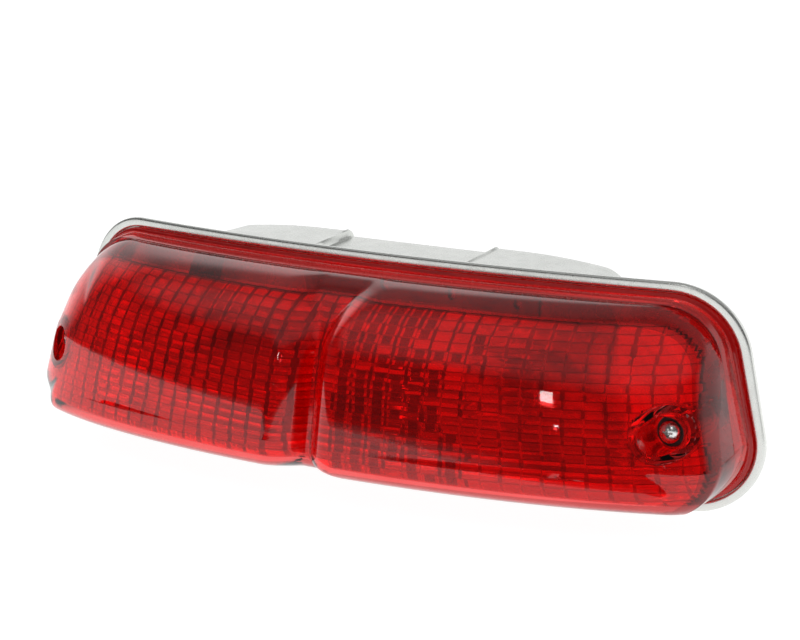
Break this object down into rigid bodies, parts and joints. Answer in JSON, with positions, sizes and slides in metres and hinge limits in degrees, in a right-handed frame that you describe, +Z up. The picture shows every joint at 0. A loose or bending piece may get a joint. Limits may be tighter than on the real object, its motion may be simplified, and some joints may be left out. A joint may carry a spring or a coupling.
{
  "type": "motorcycle tail light",
  "caption": "Wide wrap-around tail light: two-lobe red lens on a silver metallised housing, with bayonet bulbs in sprung sockets and rear studs.",
  "frame": {"origin": "centre of the flat back of the housing, which rests on the tail bracket", "axes": "+X along the lamp's length towards its right end seen from behind the motorcycle, +Z up, -Y out through the lens"},
  "size_m": [0.2756, 0.1037, 0.0756],
  "materials": {
    "red_lens": "deep red glossy transparent acrylic with moulded inner prisms",
    "metallised_shell": "pale silver metallised plastic, soft gloss",
    "rubber": "matt black moulded rubber",
    "pale_seal": "matt pale grey silicone",
    "bright_steel": "bright nickel-plated steel",
    "zinc_steel": "dull zinc-plated steel",
    "brass": "nickel-washed brass, lightly dulled",
    "clear_glass": "thin clear glass",
    "insulating_board": "brown phenolic board",
    "tungsten": "dull grey tungsten wire"
  },
  "bodies": {
    "root": {"housing": "metallised_shell", "lens_gasket": "pale_seal", "cable_grommet": "rubber", "earth_strip": "zinc_steel", "mounting_stud_left": "zinc_steel", "mounting_rubber_left": "rubber", "mounting_washer_left": "zinc_steel", "mounting_nut_left": "zinc_steel", "bulb_socket_left": "zinc_steel", "socket_boot_left": "rubber", "contact_spring_left": "bright_steel", "mounting_stud_right": "zinc_steel", "mounting_rubber_right": "rubber", "mounting_washer_right": "zinc_steel", "mounting_nut_right": "zinc_steel", "bulb_socket_right": "zinc_steel", "socket_boot_right": "rubber", "contact_spring_right": "bright_steel"},
    "lens_body": {"lens": "red_lens", "screw_washer_left": "rubber", "screw_washer_right": "rubber"},
    "screw_left": {"lens_screw_left": "bright_steel"},
    "contact_left": {"contact_plate_left": "insulating_board"},
    "bulb_left": {"bulb_cap_left": "brass", "bulb_glass_left": "clear_glass", "bulb_stem_left": "clear_glass", "brake_filament_left": "tungsten", "tail_filament_left": "tungsten"},
    "screw_right": {"lens_screw_right": "bright_steel"},
    "contact_right": {"contact_plate_right": "insulating_board"},
    "bulb_right": {"bulb_cap_right": "brass", "bulb_glass_right": "clear_glass", "bulb_stem_right": "clear_glass", "brake_filament_right": "tungsten", "tail_filament_right": "tungsten"}
  },
  "joints": [
    {"name": "lens_lift", "type": "slide", "parent": "root", "child": "lens_body", "axis": [0, -1, 0], "range_m": [0, 0.09]},
    {"name": "lens_screw_left_turn", "type": "hinge", "parent": "lens_body", "child": "screw_left", "pos_m": [-0.119, -0.03, -0.0052], "axis": [0, 1, 0], "continuous": true},
    {"name": "bulb_left_press", "type": "slide", "parent": "root", "child": "contact_left", "axis": [0, 1, 0], "range_m": [0, 0.0025], "stiffness_N_per_m": 2000, "springref_m": -0.002, "deforming": ["contact_spring_left"]},
    {"name": "bulb_left_twist", "type": "hinge", "parent": "contact_left", "child": "bulb_left", "pos_m": [-0.058, -0.014, 0], "axis": [0, -1, 0], "range_deg": [0, 20]},
    {"name": "lens_screw_right_turn", "type": "hinge", "parent": "lens_body", "child": "screw_right", "pos_m": [0.119, -0.03, -0.0052], "axis": [0, 1, 0], "continuous": true},
    {"name": "bulb_right_press", "type": "slide", "parent": "root", "child": "contact_right", "axis": [0, 1, 0], "range_m": [0, 0.0025], "stiffness_N_per_m": 2000, "springref_m": -0.002, "deforming": ["contact_spring_right"]},
    {"name": "bulb_right_twist", "type": "hinge", "parent": "contact_right", "child": "bulb_right", "pos_m": [0.058, -0.014, 0], "axis": [0, -1, 0], "range_deg": [0, 20]}
  ]
}
